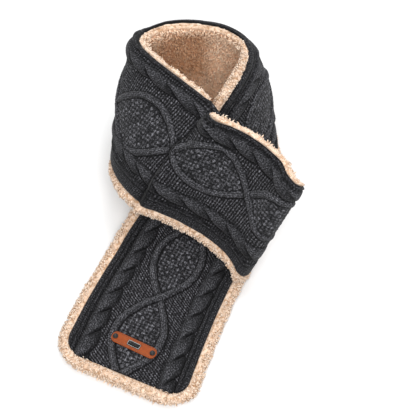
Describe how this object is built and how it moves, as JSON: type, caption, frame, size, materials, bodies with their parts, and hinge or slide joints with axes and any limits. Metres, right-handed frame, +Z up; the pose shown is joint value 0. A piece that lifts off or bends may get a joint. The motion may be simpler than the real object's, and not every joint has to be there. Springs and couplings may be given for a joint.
{
  "type": "heated neck warmer",
  "caption": "Cable-knit neck scarf with a sherpa lining, wound into a ring whose looped end crosses over the flat tail, which has a leather tab with a power socket.",
  "frame": {"origin": "On the surface that the scarf lies on, under the middle of its bounding box", "axes": "+Z up, -Y from the neck ring towards the end of the tail, +X to the side where the loop turns back"},
  "size_m": [0.2284, 0.3691, 0.1578],
  "materials": {
    "knit": "charcoal cable-knit wool blend, matt and slightly fuzzy",
    "sherpa": "cream sherpa fleece with curled pile",
    "leather": "smooth tan leather, stitched edge",
    "rivet": "dark gunmetal, satin",
    "port": "bright pressed steel",
    "insert": "black moulded plastic"
  },
  "bodies": {
    "root": {"tail_knit": "knit", "tail_lining": "sherpa", "through_knit": "knit", "through_lining": "sherpa", "right_panel_knit": "knit", "right_panel_lining": "sherpa", "nape_knit": "knit", "nape_lining": "sherpa", "left_panel_knit": "knit", "left_panel_lining": "sherpa", "band_front_knit": "knit", "band_front_lining": "sherpa", "band_return_knit": "knit", "band_return_lining": "sherpa", "leather_tab": "leather", "rivet_a": "rivet", "rivet_b": "rivet", "port_shell": "port", "port_insert": "insert"}
  },
  "joints": []
}
